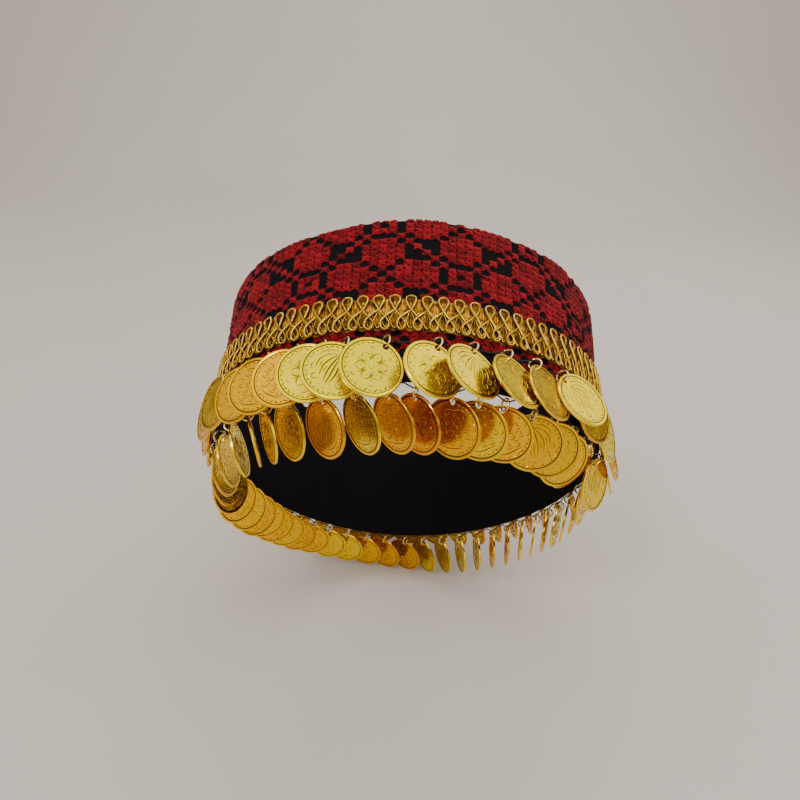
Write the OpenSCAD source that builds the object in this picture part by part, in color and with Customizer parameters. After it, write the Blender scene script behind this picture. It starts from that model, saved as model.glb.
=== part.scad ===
// Coin headband: an embroidered cloth band with a looped gilt braid along its lower part and two
// rows of overlapping coins on jump rings, in the shape that it has when it is worn. Millimetres.
// The origin is the middle of the loop, +Z is up, and the front faces -Y.

/* [Band] */
// Half width of the loop, side to side, outside the cloth
half_width = 82; // [74:1:90]
// Depth of the loop from its widest place to the front
front_depth = 74.5; // [66:0.5:84]
// Depth of the loop from its widest place to the back
back_depth = 118; // [104:1:130]
// How far the loop is tipped, front up, as it sits on a head
worn_tilt = 58; // [45:1:62]
// Height of the cloth above the top of the braid
cloth_above = 34.8; // [28:0.2:42]
// Height of the cloth below the top of the braid
cloth_below = 31.8; // [31:0.2:35]
// Thickness of the folded cloth
cloth_thickness = 2; // [1.5:0.1:3]
// Growth of the loop for each millimetre of height, as a share of its size
flare = 0.0006; // [0:0.0001:0.001]
// How far the middle of the cloth stands out past its edges
cloth_crown = 0.5; // [0:0.1:1]
// Rise and fall of the cloth's top edge
top_edge_wave = 0.7; // [0:0.1:1.2]

/* [Braid] */
// Height of the braid
braid_height = 14.1; // [12:0.1:16]
// How far the braid stands out from the cloth
braid_thickness = 2.2; // [1.6:0.1:2.4]
// Number of loops along the braid
braid_loops = 103; // [90:1:110]
// Depth of the notches between the upper loops
upper_notch = 1.8; // [0.5:0.1:2.5]
// Depth of the notches between the lower loops
lower_notch = 1; // [0.3:0.1:1.5]

/* [Coins] */
// Diameter of a coin
coin_diameter = 21.5; // [20:0.1:22]
// Thickness of a coin at its raised rim
coin_rim_thickness = 1; // [0.8:0.05:1]
// Thickness of a coin inside its rim
coin_field_thickness = 0.72; // [0.5:0.02:0.8]
// Distance from a coin's middle to its hole
coin_hole_reach = 9.1; // [9:0.05:9.2]
// Diameter of a coin's hole
coin_hole_diameter = 2.25; // [2.2:0.05:2.3]
// Coins in the upper row
upper_count = 42; // [40:1:42]
// Coins in the lower row
lower_count = 47; // [45:1:47]

/* [Rings and thread] */
// Diameter of a jump ring at the middle of its wire
ring_diameter = 4.4; // [4.4:0.05:4.5]
// Thickness of a jump ring's wire
ring_wire = 0.75; // [0.6:0.05:0.75]
// Thickness of the thread that holds the rings
thread_diameter = 0.6; // [0.4:0.05:0.6]
// How far below the thread a ring's middle hangs
ring_drop = 1.4; // [1.35:0.05:1.4]
// How far the upper thread stands off the cloth where it holds a ring
upper_stand = 3; // [3:0.05:3.2]
// Height of the upper thread below the top of the braid
upper_thread_depth = 18.1; // [18:0.1:18.4]
// Height of the lower thread below the cloth's edge where it holds a ring
lower_thread_drop = 2.1; // [2.05:0.05:2.3]

/* [Hidden] */

red = "#9b1a24";
gold = "#e0a92b";
thread_black = "#1d1417";

loop_middle = (back_depth - front_depth) / 2;
coin_radius = coin_diameter / 2;
ring_radius = ring_diameter / 2;
lower_stand = -cloth_thickness / 2;
band_stations = 96;
braid_steps = 4;
skin_gap = 0.15;
thread_sides = 5;
thread_hold = 0.9;
thread_reach = 4;
thread_tuck = 50;
thread_slack = 0.1;
thread_seat = thread_diameter / 2 + 0.15;
upper_ring_skew = 22;
lower_ring_skew = 28;
upper_start = -6.2;
lower_start = 2;

// How the upper coins lie, from the coin that is nearest the front's middle: coins between two rows
// of the table lie between them. Positive turns face right, and lean is the way out from the cloth.
// Columns: coin number, turn, lean
upper_lie = [
    [-21, 8, 3],
    [-20, 13, 4],
    [-18, 11, 2],
    [-17, 11, 1],
    [-13, 11, 1],
    [-12, 10, 2],
    [-11, 9, 4],
    [-9, 5, 9],
    [-8, 11, 7],
    [-6, 8, 2],
    [-5, 10, -2],
    [-4, 14, 2],
    [-3, 14.5, 1.5],
    [-2, 16, 3],
    [-1, 19.5, 6.5],
    [0, 21, 8],
    [1, 24, 11],
    [2, 27, 18],
    [3, 25, 13],
    [4, 19, 2],
    [5, 1, 13],
    [6, -6, 0],
    [7, -5, 0],
    [8, -6.08, 10],
    [9, -6.17, 17],
    [11, -10.33, 15],
    [12, -12.42, 13],
    [13, -16.5, 11],
    [14, -15.58, 10],
    [16, -11.75, 10],
    [19, -2, 7],
    [20, 1, 5]
];
// Where single upper coins are pushed aside by their neighbours
// Columns: coin number, shift of its ring along the row, swing about its hole
upper_push = [
    [-15, 0.2, 0],
    [-14, 0.6, 0],
    [-13, 1, 0],
    [-12, 1.6, -1],
    [-11, 2.6, -3],
    [-10, 4.2, -6],
    [-9, 6.8, -13],
    [-8, 6.2, -13],
    [-7, 7.6, -15],
    [-6, 9.8, -9],
    [-5, 9.8, 8],
    [-4, 7.4, 7],
    [-3, 6, 1],
    [-2, 2.6, -4],
    [-1, -3.2, 2],
    [0, -3.4, -16],
    [1, -0.4, -15],
    [2, -2.2, -22],
    [3, -3.6, -15],
    [4, -5.6, -4],
    [5, -6.2, 8],
    [6, -7, 8],
    [7, -1.8, -2],
    [8, 3, -16],
    [9, 4.6, -21],
    [10, 3, -10],
    [11, 1.8, -5],
    [12, 1, -2],
    [13, 0.6, 0],
    [14, 0.2, 0]
];
// How the lower coins hang, with lean as the way out from plumb
// Columns: coin number, turn, lean
lower_lie = [
    [-23, -42, 2],
    [-21, -58, 2],
    [-19, -60, 2],
    [-18, -58, -4],
    [-17, -56, -7],
    [-15, -50, -14],
    [-14, -38, -16],
    [-13, -31, -16],
    [-12, -31, -15],
    [-11, -20, -19],
    [-10, -7, -19],
    [-9, -6, -17],
    [-7, -8, -14],
    [-6, -8, -9],
    [-5, -7.5, -1],
    [-4, -5, 6],
    [-3, -11, 11],
    [-2, -30, 11],
    [-1, -40.5, 14.5],
    [0, -49, 13],
    [1, -51.5, 16.5],
    [2, -52, 13],
    [3, -51.5, 11],
    [4, -49, 17],
    [5, -41.5, 15],
    [6, -40, 1],
    [7, -34, -11],
    [8, -27, 14],
    [9, -30, -1],
    [10, -28, 0],
    [12, -25, -1],
    [13, -31, 3],
    [16, -25, 3],
    [17, -24, 3],
    [21, -24, 3],
    [23, -24, 1]
];
// Where single lower coins are pushed aside by their neighbours
// Columns: coin number, shift of its ring along the row, swing about its hole
lower_push = [
    [-17, -1, -1],
    [-16, -2.2, -2],
    [-15, -3.8, -4],
    [-14, -6, 0],
    [-13, -6.4, 0],
    [-12, -5.4, 0],
    [-11, -1.8, -1],
    [-10, -1.8, 4],
    [-9, -0.8, 4],
    [-8, 0.2, 6],
    [-7, 1.6, 4],
    [-6, 2.8, -6],
    [-5, 1.2, -1],
    [-4, 0.4, 3],
    [-3, 1.6, 17],
    [-2, 1.6, 22],
    [-1, 1.4, 17],
    [0, -1.2, 8],
    [2, -2.4, -1],
    [3, -4.8, 1],
    [4, -4.2, 0],
    [5, -6.2, 0],
    [6, -6.2, -11],
    [7, -5.8, -1],
    [8, -2, -9],
    [9, -3.6, -7],
    [10, -1, -4],
    [11, 0.4, -3],
    [12, 1.8, -4],
    [13, 1, -6],
    [14, 0.6, -3],
    [15, 0.2, -1],
    [22, -0.2, 0],
    [23, -0.4, 0]
];

function unit(v) = v / norm(v);
function toward(v, aim) = v * aim < 0 ? -v : v;
function turned(v, w, angle) = v * cos(angle) + w * sin(angle);
function column(table, index) = [for (row = table) [row[0], row[index]]];
function entry(table, number, index) =
    let (found = [for (row = table) if (row[0] == number) row[index]])
    len(found) == 0 ? 0 : found[0];

// The loop's outline is half an ellipse in front and a deeper one behind. Its angle is 0 at the
// front and grows to the right.
function depth_at(angle) = abs(angle) <= 90 ? front_depth : back_depth;
function outline(angle) = [half_width * sin(angle), -depth_at(angle) * cos(angle), 0];
function along(angle) = unit([half_width * cos(angle), depth_at(angle) * sin(angle), 0]);
function outward(angle) = let (t = along(angle)) [t[1], -t[0], 0];

// Lengths along half the outline, each with its angle
outline_step = 0.5;
half_walk = [
    for (a = 0, s = 0; a <= 180; s = s + norm(outline(a + outline_step) - outline(a)),
         a = a + outline_step) [s, a]
];
half_loop = half_walk[len(half_walk) - 1][0];
loop_length = 2 * half_loop;
function wrapped(s) = s - loop_length * floor((s + half_loop) / loop_length);
function angle_at(s) = let (w = wrapped(s)) sign(w) * lookup(abs(w), half_walk);

// A point at a length along the loop, a height and a distance outside the cloth
function on_loop(s, z, out) =
    let (a = angle_at(s), p = outline(a) * (1 + flare * z))
    [p[0], p[1], z] + out * outward(a);

// The way down, seen from the tipped loop
down = [0, sin(worn_tilt), -cos(worn_tilt)];

// Where a coin and its ring are: [ring's middle, ring's axis, coin's middle, coin's up, coin's face,
// thread's place in the ring]. A coin that hangs along its thread has the thread pass the ring to
// one side, on the side where the thread leaves the coin's face.
function hung(thread_point, tangent, way, face, lean, swing, turn, skew) =
    let (
        side = toward(cross(way, face), tangent),
        way_out = turned(way, face, lean),
        face_out = turned(face, -way, lean),
        hang = turned(way_out, side, swing),
        side_hang = turned(side, -way_out, swing),
        coin_face = turned(face_out, side_hang, turn),
        ring_way = toward(unit(cross(coin_face, tangent)), way),
        ring_axis = unit(tangent - (tangent * coin_face) * coin_face),
        ring_middle = thread_point + ring_drop * ring_way,
        hole = ring_middle + ring_radius * ring_way,
        run = (skew == 0 ? 1 : 0.6) * (hang * tangent),
        tuck = thread_tuck * abs(run) * sign(run * (coin_face * tangent))
    )
    [
        ring_middle,
        turned(ring_axis, -coin_face, skew),
        hole + coin_hole_reach * hang,
        -hang,
        coin_face,
        ring_middle - (ring_drop - thread_slack) * turned(ring_way, -coin_face, tuck)
    ];

// An upper coin lies on the cloth where the cloth faces up, and hangs plumb where it doesn't
function upper_thread_s(i) =
    upper_start + i * loop_length / upper_count + entry(upper_push, i, 1);
function upper_hung(i) =
    let (
        s = upper_thread_s(i),
        a = angle_at(s),
        out = outward(a),
        way = unit(down - min(down * out, 0) * out)
    )
    hung(
        on_loop(s, -upper_thread_depth, upper_stand), along(a), way, unit(out - (out * way) * way),
        lookup(i, column(upper_lie, 2)), entry(upper_push, i, 2), lookup(i, column(upper_lie, 1)),
        abs(i) < 6 ? upper_ring_skew : 0
    );

// A lower coin hangs free under the cloth's edge, and leans out at the front as a brow holds it
function lower_thread_s(i) =
    lower_start + i * loop_length / lower_count + entry(lower_push, i, 1);
function lower_hung(i) =
    let (
        s = lower_thread_s(i),
        a = angle_at(s),
        out = outward(a),
        level = unit(out - (out * down) * down),
        lean = lookup(i, column(lower_lie, 2))
    )
    hung(
        on_loop(s, -cloth_below - lower_thread_drop, lower_stand), along(a),
        turned(down, level, lean), turned(level, -down, lean),
        0, entry(lower_push, i, 2), lookup(i, column(lower_lie, 1)),
        abs(i) < 4 ? lower_ring_skew : 0
    );

upper_numbers = [for (k = [0:upper_count - 1]) k - floor(upper_count / 2)];
lower_numbers = [for (k = [0:lower_count - 1]) k - floor(lower_count / 2)];

// Places what is modelled on a level loop as it sits on a head
module worn() {
    rotate([-worn_tilt, 0, 0]) translate([0, -loop_middle, 0]) children();
}

// Places children with their z axis along face and their y axis along up
module placed(middle, up, face) {
    across = cross(up, face);
    multmatrix([
        [across[0], up[0], face[0], middle[0]],
        [across[1], up[1], face[1], middle[1]],
        [across[2], up[2], face[2], middle[2]],
        [0, 0, 0, 1]
    ]) children();
}

// A closed loop or tube through rings of points, each ring in the same order
module ring_of_sections(sections) {
    count = len(sections);
    size = len(sections[0]);
    points = [for (section = sections) for (p = section) p];
    faces = [
        for (i = [0:count - 1]) for (j = [0:size - 1])
            let (
                next = (i + 1) % count,
                over = (j + 1) % size,
                a = i * size + j,
                b = i * size + over,
                c = next * size + over,
                d = next * size + j
            )
            each [[a, b, c], [a, c, d]]
    ];
    polyhedron(points = points, faces = faces, convexity = 10);
}

// The cloth's top edge rises and falls a little round the head
function top_wave(angle) = top_edge_wave * (sin(3 * angle + 40) + 0.6 * cos(7 * angle));

function band_section(s) =
    let (
        wave = top_wave(angle_at(s)),
        top = cloth_above + wave,
        bottom = -cloth_below,
        middle = (top + bottom) / 2,
        edge = 0.5
    )
    [
        on_loop(s, bottom + edge, 0),
        on_loop(s, middle, cloth_crown),
        on_loop(s, top - edge, 0),
        on_loop(s, top, -edge),
        on_loop(s, top, edge - cloth_thickness),
        on_loop(s, top - edge, -cloth_thickness),
        on_loop(s, middle, cloth_crown - cloth_thickness),
        on_loop(s, bottom + edge, -cloth_thickness),
        on_loop(s, bottom, edge - cloth_thickness),
        on_loop(s, bottom, -edge)
    ];

module band() {
    color(red) worn()
        ring_of_sections([
            for (i = [0:band_stations - 1]) band_section(i * loop_length / band_stations)
        ]);
}

// How far a point of the braid's height stands out, on the crowned cloth under it
function cloth_out(z) =
    let (
        top = cloth_above,
        middle = (cloth_above - cloth_below) / 2,
        reach = z > middle ? top - middle : middle + cloth_below
    )
    cloth_crown * (1 - abs(z - middle) / reach);

function braid_section(s, phase) =
    let (
        top = -upper_notch * (1 - abs(cos(180 * phase))),
        bottom = -braid_height + lower_notch * abs(cos(180 * phase)),
        middle = (top + bottom) / 2,
        shoulder = 0.7
    )
    [
        on_loop(s, bottom, cloth_out(bottom) + skin_gap + 0.1),
        on_loop(s, bottom + shoulder, cloth_out(bottom) + braid_thickness - 0.4),
        on_loop(s, middle, cloth_out(middle) + braid_thickness),
        on_loop(s, top - shoulder, cloth_out(top) + braid_thickness - 0.4),
        on_loop(s, top, cloth_out(top) + skin_gap + 0.1)
    ];

module braid() {
    color(gold) worn()
        ring_of_sections([
            for (i = [0:braid_loops * braid_steps - 1])
                braid_section(i * loop_length / (braid_loops * braid_steps), i / braid_steps)
        ]);
}

// A thread's cross section about a point, square to the loop
function thread_section(middle, angle) =
    [for (k = [0:thread_sides - 1])
        let (turn = 360 * k / thread_sides)
        middle + thread_diameter / 2 * (cos(turn) * outward(angle) + [0, 0, sin(turn)])];

// The thread lies against its seat between two rings, and leaves it to pass through each ring
function thread_sections(places, rings, seat_z, seat_out) = [
    for (k = [0:len(places) - 1])
        let (
            here = places[k],
            after = k == len(places) - 1 ? places[0] + loop_length : places[k + 1],
            angle = angle_at(here),
            held = rings[k][5],
            seats = [here - thread_reach, here + thread_reach, (here + after) / 2],
            seated = [for (s = seats) thread_section(on_loop(s, seat_z, seat_out), angle_at(s))]
        )
        each [
            seated[0],
            thread_section(held - thread_hold * along(angle), angle),
            thread_section(held + thread_hold * along(angle), angle),
            seated[1],
            seated[2]
        ]
];

module coin_thread_upper() {
    color(thread_black) worn()
        ring_of_sections(thread_sections(
            [for (i = upper_numbers) upper_thread_s(i)],
            [for (i = upper_numbers) upper_hung(i)],
            -upper_thread_depth,
            cloth_out(-upper_thread_depth) + thread_seat
        ));
}

module coin_thread_lower() {
    color(thread_black) worn()
        ring_of_sections(thread_sections(
            [for (i = lower_numbers) lower_thread_s(i)],
            [for (i = lower_numbers) lower_hung(i)],
            -cloth_below - thread_seat,
            lower_stand
        ));
}

module jump_ring() {
    rotate_extrude($fn = 40) translate([ring_radius, 0]) circle(d = ring_wire, $fn = 20);
}

module jump_ring_row(places) {
    for (h = places) {
        side = unit(cross(h[1], down));
        placed(h[0], side, h[1]) jump_ring();
    }
}

module jump_rings_upper() {
    color(gold) worn() jump_ring_row([for (i = upper_numbers) upper_hung(i)]);
}

module jump_rings_lower() {
    color(gold) worn() jump_ring_row([for (i = lower_numbers) lower_hung(i)]);
}

// A coin lies on its z axis with its hole at the top. A raised rim, a raised line and a rosette of
// round petals are the same on both faces.
rim_width = 0.8;
line_radius = 7;
line_width = 0.5;
relief_rise = 0.1;
petal_count = 6;
petal_radius = 1.25;
petal_reach = 3;
bud_radius = 1.4;

module coin_blank() {
    rim = coin_rim_thickness / 2;
    field = coin_field_thickness / 2;
    raised = field + relief_rise;
    inner = coin_radius - rim_width;
    rotate_extrude($fn = 96) polygon([
        [0, -field],
        [line_radius - line_width, -field],
        [line_radius, -raised],
        [line_radius + line_width, -field],
        [inner - 0.15, -field],
        [inner, -rim],
        [coin_radius - 0.15, -rim],
        [coin_radius, -rim + 0.15],
        [coin_radius, rim - 0.15],
        [coin_radius - 0.15, rim],
        [inner, rim],
        [inner - 0.15, field],
        [line_radius + line_width, field],
        [line_radius, raised],
        [line_radius - line_width, field],
        [0, field]
    ]);
}

module coin() {
    relief = coin_field_thickness + 2 * relief_rise;
    difference() {
        union() {
            coin_blank();
            cylinder(r = bud_radius, h = relief, center = true, $fn = 32);
            for (k = [0:petal_count - 1])
                rotate([0, 0, k * 360 / petal_count]) translate([0, petal_reach, 0])
                    cylinder(r = petal_radius, h = relief, center = true, $fn = 32);
        }
        translate([0, coin_hole_reach, 0])
            cylinder(d = coin_hole_diameter, h = 2 * coin_rim_thickness, center = true, $fn = 32);
    }
}

module coin_row(places) {
    for (h = places)
        placed(h[2], h[3], h[4]) coin();
}

module coins_upper() {
    color(gold) worn() coin_row([for (i = upper_numbers) upper_hung(i)]);
}

module coins_lower() {
    color(gold) worn() coin_row([for (i = lower_numbers) lower_hung(i)]);
}

band();
braid();
coin_thread_upper();
coin_thread_lower();
jump_rings_upper();
jump_rings_lower();
coins_upper();
coins_lower();
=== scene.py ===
"""Looks of the coin headband. Metres, in the part's frame: +Z up, the front faces -Y.

The cloth, stitches, braid, coins and rings are first worked out in millimetres about the level loop,
with z = 0 at the braid's top edge, and worn() then tips them into the part's frame.
"""
import math

import bmesh
import bpy
import numpy as np
from mathutils import Matrix, Vector


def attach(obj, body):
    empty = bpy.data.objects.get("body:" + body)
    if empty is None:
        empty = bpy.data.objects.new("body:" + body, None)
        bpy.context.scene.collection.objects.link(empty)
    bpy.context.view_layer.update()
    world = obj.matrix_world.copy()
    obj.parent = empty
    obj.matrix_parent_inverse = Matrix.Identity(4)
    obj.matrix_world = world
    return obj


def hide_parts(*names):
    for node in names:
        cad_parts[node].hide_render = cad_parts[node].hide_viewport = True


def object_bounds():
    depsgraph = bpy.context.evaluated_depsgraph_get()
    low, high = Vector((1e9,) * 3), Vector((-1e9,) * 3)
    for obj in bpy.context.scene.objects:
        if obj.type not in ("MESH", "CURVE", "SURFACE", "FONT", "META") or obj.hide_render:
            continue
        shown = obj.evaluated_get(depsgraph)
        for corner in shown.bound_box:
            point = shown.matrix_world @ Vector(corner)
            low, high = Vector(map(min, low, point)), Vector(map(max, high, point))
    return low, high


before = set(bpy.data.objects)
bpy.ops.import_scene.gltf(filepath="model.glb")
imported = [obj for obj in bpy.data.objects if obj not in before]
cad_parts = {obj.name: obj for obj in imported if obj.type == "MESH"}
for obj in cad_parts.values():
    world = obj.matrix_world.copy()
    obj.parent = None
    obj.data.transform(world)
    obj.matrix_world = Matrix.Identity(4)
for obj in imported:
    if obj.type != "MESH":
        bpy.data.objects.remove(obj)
cad_low, cad_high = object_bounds()
rng = np.random.default_rng(11)

# A millimetre in metres, and a metre in millimetres
MM, METRE = 0.001, 1000

# The loop, as the part's source has it: half its width, and its depth to the front and to the back
HALF_WIDTH, FRONT, BACK = 82.0, 74.5, 118.0
MIDDLE = (BACK - FRONT) / 2
TILT = math.radians(58)

# The cloth, as the part's source has it: its heights from the braid's top edge, and its form
ABOVE, BELOW, THICK = 34.8, 31.8, 2.0
CROWN, FLARE, WAVE = 0.5, 0.0006, 0.7

# The braid's loops: how many, and where along the outline the first one is
LOOPS, LOOP_START = 103, -2.05

# Coins and rings, as the part's source has them, and how far a coin's relief stands up and sinks in
COIN_RADIUS, RIM, FIELD = 10.75, 0.5, 0.36
HOLE_REACH, HOLE_RADIUS = 9.1, 1.125
RING_RADIUS, WIRE = 2.2, 0.375
RISE, FOOT = 0.15, 0.06


def depth_at(angle):
    """How far the loop reaches to the front or the back, for an angle in degrees from the front."""
    return np.where(np.abs(angle) <= 90, FRONT, BACK)


def outline(angle):
    """A point of the level loop, at an angle in degrees from the front."""
    a = np.radians(angle)
    return np.stack([HALF_WIDTH * np.sin(a), -depth_at(angle) * np.cos(a)], -1)


STEPS = np.arange(0, 180.01, 0.5)
WALK = np.r_[0, np.cumsum(np.linalg.norm(np.diff(outline(STEPS), axis=0), axis=1))]
LOOP = 2 * WALK[-1]


def angle_at(s):
    """The outline's angle at a length along the loop, which is 0 at the front."""
    s = (np.asarray(s, float) + LOOP / 2) % LOOP - LOOP / 2
    return np.sign(s) * np.interp(np.abs(s), WALK, STEPS)


def outward(s):
    """The level direction out of the loop, at a length along it."""
    a = angle_at(s)
    along = np.stack([HALF_WIDTH * np.cos(np.radians(a)), depth_at(a) * np.sin(np.radians(a))], -1)
    along /= np.linalg.norm(along, axis=-1, keepdims=True)
    return np.stack([along[..., 1], -along[..., 0], np.zeros_like(a)], -1)


def on_loop(s, z, out):
    """Points at a length along the loop, a height and a distance outside it."""
    s, z, out = np.broadcast_arrays(np.asarray(s, float), np.asarray(z, float), np.asarray(out, float))
    flat = outline(angle_at(s)) * (1 + FLARE * z)[..., None]
    return np.concatenate([flat, z[..., None]], -1) + out[..., None] * outward(s)


def turn(v):
    """Tips points or directions front up, from the level loop to the way in which it is worn."""
    c, d = math.cos(TILT), math.sin(TILT)
    return np.stack([v[..., 0], v[..., 1] * c + v[..., 2] * d, -v[..., 1] * d + v[..., 2] * c], -1)


def worn(p):
    """From the level loop in millimetres to the part's frame in metres."""
    return turn(p - np.array([0, MIDDLE, 0])) * MM


def top_at(s):
    """The height of the cloth's top edge, which rises and falls a little."""
    a = np.radians(angle_at(s))
    return ABOVE + WAVE * (np.sin(3 * a + math.radians(40)) + 0.6 * np.cos(7 * a))


def crown(z):
    """How far the cloth stands out at a height, most at the middle of its height."""
    middle = (ABOVE - BELOW) / 2
    return CROWN * (1 - np.abs(z - middle) / (ABOVE - middle))


# Meshes from arrays

def mesh_object(name, verts, faces, uv=None, sharp=None, **values):
    """verts (n, 3) in metres, faces (m, 3 or 4), uv (n, 2), and a number for each vertex by name.

    Edges that turn by more than sharp degrees stay sharp.
    """
    mesh = bpy.data.meshes.new(name)
    faces = [np.asarray(f, np.int64) for f in (faces if isinstance(faces, list) else [faces]) if len(f)]
    counts = np.concatenate([np.full(len(f), f.shape[1]) for f in faces])
    corners = np.concatenate([f.ravel() for f in faces])
    mesh.vertices.add(len(verts))
    mesh.vertices.foreach_set("co", np.asarray(verts, np.float32).ravel())
    mesh.loops.add(len(corners))
    mesh.loops.foreach_set("vertex_index", corners.astype(np.int32))
    mesh.polygons.add(len(counts))
    mesh.polygons.foreach_set("loop_start", np.r_[0, np.cumsum(counts)[:-1]].astype(np.int32))
    mesh.polygons.foreach_set("use_smooth", np.ones(len(counts), bool))
    mesh.update(calc_edges=True)
    if uv is not None:
        layer = mesh.uv_layers.new(name="UVMap")
        layer.data.foreach_set("uv", np.asarray(uv, np.float32)[corners].ravel())
    for key, value in values.items():
        layer = mesh.attributes.new(key, "FLOAT", "POINT")
        layer.data.foreach_set("value", np.asarray(value, np.float32))
    mesh.validate()
    if sharp is not None:
        mesh.set_sharp_from_angle(angle=math.radians(sharp))
    obj = bpy.data.objects.new(name, mesh)
    bpy.context.scene.collection.objects.link(obj)
    return obj


def grid_faces(rows, columns, wrap_rows=False, wrap_columns=False):
    i = np.arange(rows if wrap_rows else rows - 1)
    j = np.arange(columns if wrap_columns else columns - 1)
    i, j = [x.ravel() for x in np.meshgrid(i, j, indexing="ij")]
    i2, j2 = (i + 1) % rows, (j + 1) % columns
    return np.stack([i * columns + j, i2 * columns + j, i2 * columns + j2, i * columns + j2], -1)


def joined(parts, *face_places):
    """Several meshes as one. Each is a tuple of arrays, its verts first and its faces at face_places."""
    starts = np.cumsum([0] + [len(part[0]) for part in parts[:-1]])
    whole = []
    for place, arrays in enumerate(zip(*parts)):
        if place in face_places:
            arrays = [faces + start for faces, start in zip(arrays, starts)]
        whole.append(np.concatenate(arrays))
    return whole


def smooth_path(points, per):
    """A Catmull-Rom curve through points, with per steps between two."""
    p = np.asarray(points, float)
    last = len(p) - 1
    t = (np.arange(per) / per)[None, :, None]
    a, b, c, d = [p[np.clip(np.arange(last) + k, 0, last)][:, None] for k in (-1, 0, 1, 2)]
    q = 0.5 * (2 * b + (c - a) * t + (2 * a - 5 * b + 4 * c - d) * t**2 + (3 * b - a - 3 * c + d) * t**3)
    return np.vstack([q.reshape(-1, p.shape[1]), p[-1]])


def unit(v):
    return v / (np.linalg.norm(v, axis=1, keepdims=True) + 1e-12)


def tube(centres, normals, radius, sides, closed=True):
    """A tube about a path in millimetres, with UVs in metres along it and in turns round it."""
    along = np.roll(centres, -1, 0) - np.roll(centres, 1, 0)
    if not closed:
        along[0], along[-1] = centres[1] - centres[0], centres[-1] - centres[-2]
    along = unit(along)
    across = unit(np.cross(along, normals))
    facing = np.cross(across, along)
    a = np.arange(sides) * 2 * np.pi / sides
    ring = np.cos(a)[None, :, None] * facing[:, None] + np.sin(a)[None, :, None] * across[:, None]
    verts = centres[:, None] + radius * ring
    walk = np.r_[0, np.cumsum(np.linalg.norm(np.diff(centres, axis=0), axis=1))]
    uv = np.stack(np.broadcast_arrays(walk[:, None] * MM, (a / (2 * np.pi))[None]), -1)
    return verts.reshape(-1, 3), grid_faces(len(centres), sides, closed, True), uv.reshape(-1, 2)


# Materials

class Surface:
    """A new material, with short calls that add nodes to its tree."""

    def __init__(self, name, values):
        self.material = bpy.data.materials.new(name)
        self.material.use_nodes = True
        self.tree = self.material.node_tree
        self.shader = self.tree.nodes["Principled BSDF"]
        for socket, value in values.items():
            self.shader.inputs[socket].default_value = value

    def add(self, kind, **settings):
        node = self.tree.nodes.new(kind)
        for key, value in settings.items():
            setattr(node, key, value)
        return node

    def put(self, value, socket):
        """Links a node's output to a socket, or sets the socket to a number."""
        if isinstance(value, (int, float)):
            socket.default_value = value
        else:
            self.tree.links.new(value, socket)

    def feed(self, socket, value):
        self.put(value, self.shader.inputs[socket])

    def calculate(self, operation, *values):
        node = self.add("ShaderNodeMath", operation=operation)
        for value, socket in zip(values, node.inputs):
            self.put(value, socket)
        return node.outputs[0]

    def plus(self, a, b):
        return self.calculate("ADD", a, b)

    def times(self, a, b):
        return self.calculate("MULTIPLY", a, b)

    def sine(self, a):
        return self.calculate("SINE", a)

    def waves(self, value, length):
        """The angle of a wave that repeats once for each length."""
        return self.times(value, 2 * math.pi / length)

    def uv(self):
        node = self.add("ShaderNodeSeparateXYZ")
        self.put(self.add("ShaderNodeUVMap", uv_map="UVMap").outputs[0], node.inputs[0])
        return node.outputs[0], node.outputs[1]

    def stored(self, name):
        """A number that the mesh holds for each vertex."""
        return self.add("ShaderNodeAttribute", attribute_name=name).outputs["Fac"]

    def noise(self, scale, detail):
        node = self.add("ShaderNodeTexNoise")
        node.inputs["Scale"].default_value = scale
        node.inputs["Detail"].default_value = detail
        node.inputs["Roughness"].default_value = 0.6
        self.put(self.add("ShaderNodeTexCoord").outputs["Object"], node.inputs["Vector"])
        return node.outputs["Fac"]

    def ramp(self, value, stops):
        node = self.add("ShaderNodeValToRGB")
        ramp = node.color_ramp
        while len(ramp.elements) < len(stops):
            ramp.elements.new(0.5)
        for element, (place, colour) in zip(ramp.elements, stops):
            element.position = place
            element.color = (*colour, 1)
        self.put(value, node.inputs[0])
        return node.outputs[0]

    def mix(self, share, first, second):
        """A blend of two colours, each a node's output or a tuple."""
        node = self.add("ShaderNodeMix", data_type="RGBA")
        self.put(share, node.inputs[0])
        for colour, socket in ((first, node.inputs[6]), (second, node.inputs[7])):
            if isinstance(colour, tuple):
                socket.default_value = (*colour, 1)
            else:
                self.put(colour, socket)
        return node.outputs[2]

    def span(self, value, low, high, to_low, to_high):
        """value moved from the range low to high to the range to_low to to_high, and held within it."""
        node = self.add("ShaderNodeMapRange")
        for number, socket in zip((low, high, to_low, to_high), node.inputs[1:5]):
            socket.default_value = number
        self.put(value, node.inputs[0])
        return node.outputs[0]

    def bump(self, height, strength, distance):
        node = self.add("ShaderNodeBump")
        node.inputs["Strength"].default_value = strength
        node.inputs["Distance"].default_value = distance
        self.put(height, node.inputs["Height"])
        self.feed("Normal", node.outputs[0])


# Lengths in metres of what repeats: threads of cotton, turns of floss, wraps of cord, pleats of strip
WEAVE, FLOSS_TWIST, CORD_WRAP, PLEAT = 0.0011, 0.00075, 0.00042, 0.00045


def black_cotton():
    """Plain weave with a little fuzz."""
    surface = Surface("black_cotton", {"Roughness": 0.9, "Specular IOR Level": 0.12})
    u, v = surface.uv()
    woven = surface.times(surface.sine(surface.waves(u, WEAVE)), surface.sine(surface.waves(v, WEAVE)))
    height = surface.plus(woven, surface.times(surface.noise(900, 4), 0.9))
    surface.feed("Base Color", surface.ramp(surface.span(height, -0.8, 1.6, 0, 1), [
        (0, (0.0015, 0.0013, 0.002)), (1, (0.009, 0.007, 0.009))]))
    surface.bump(height, 0.6, 0.00016)
    return surface.material


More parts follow.
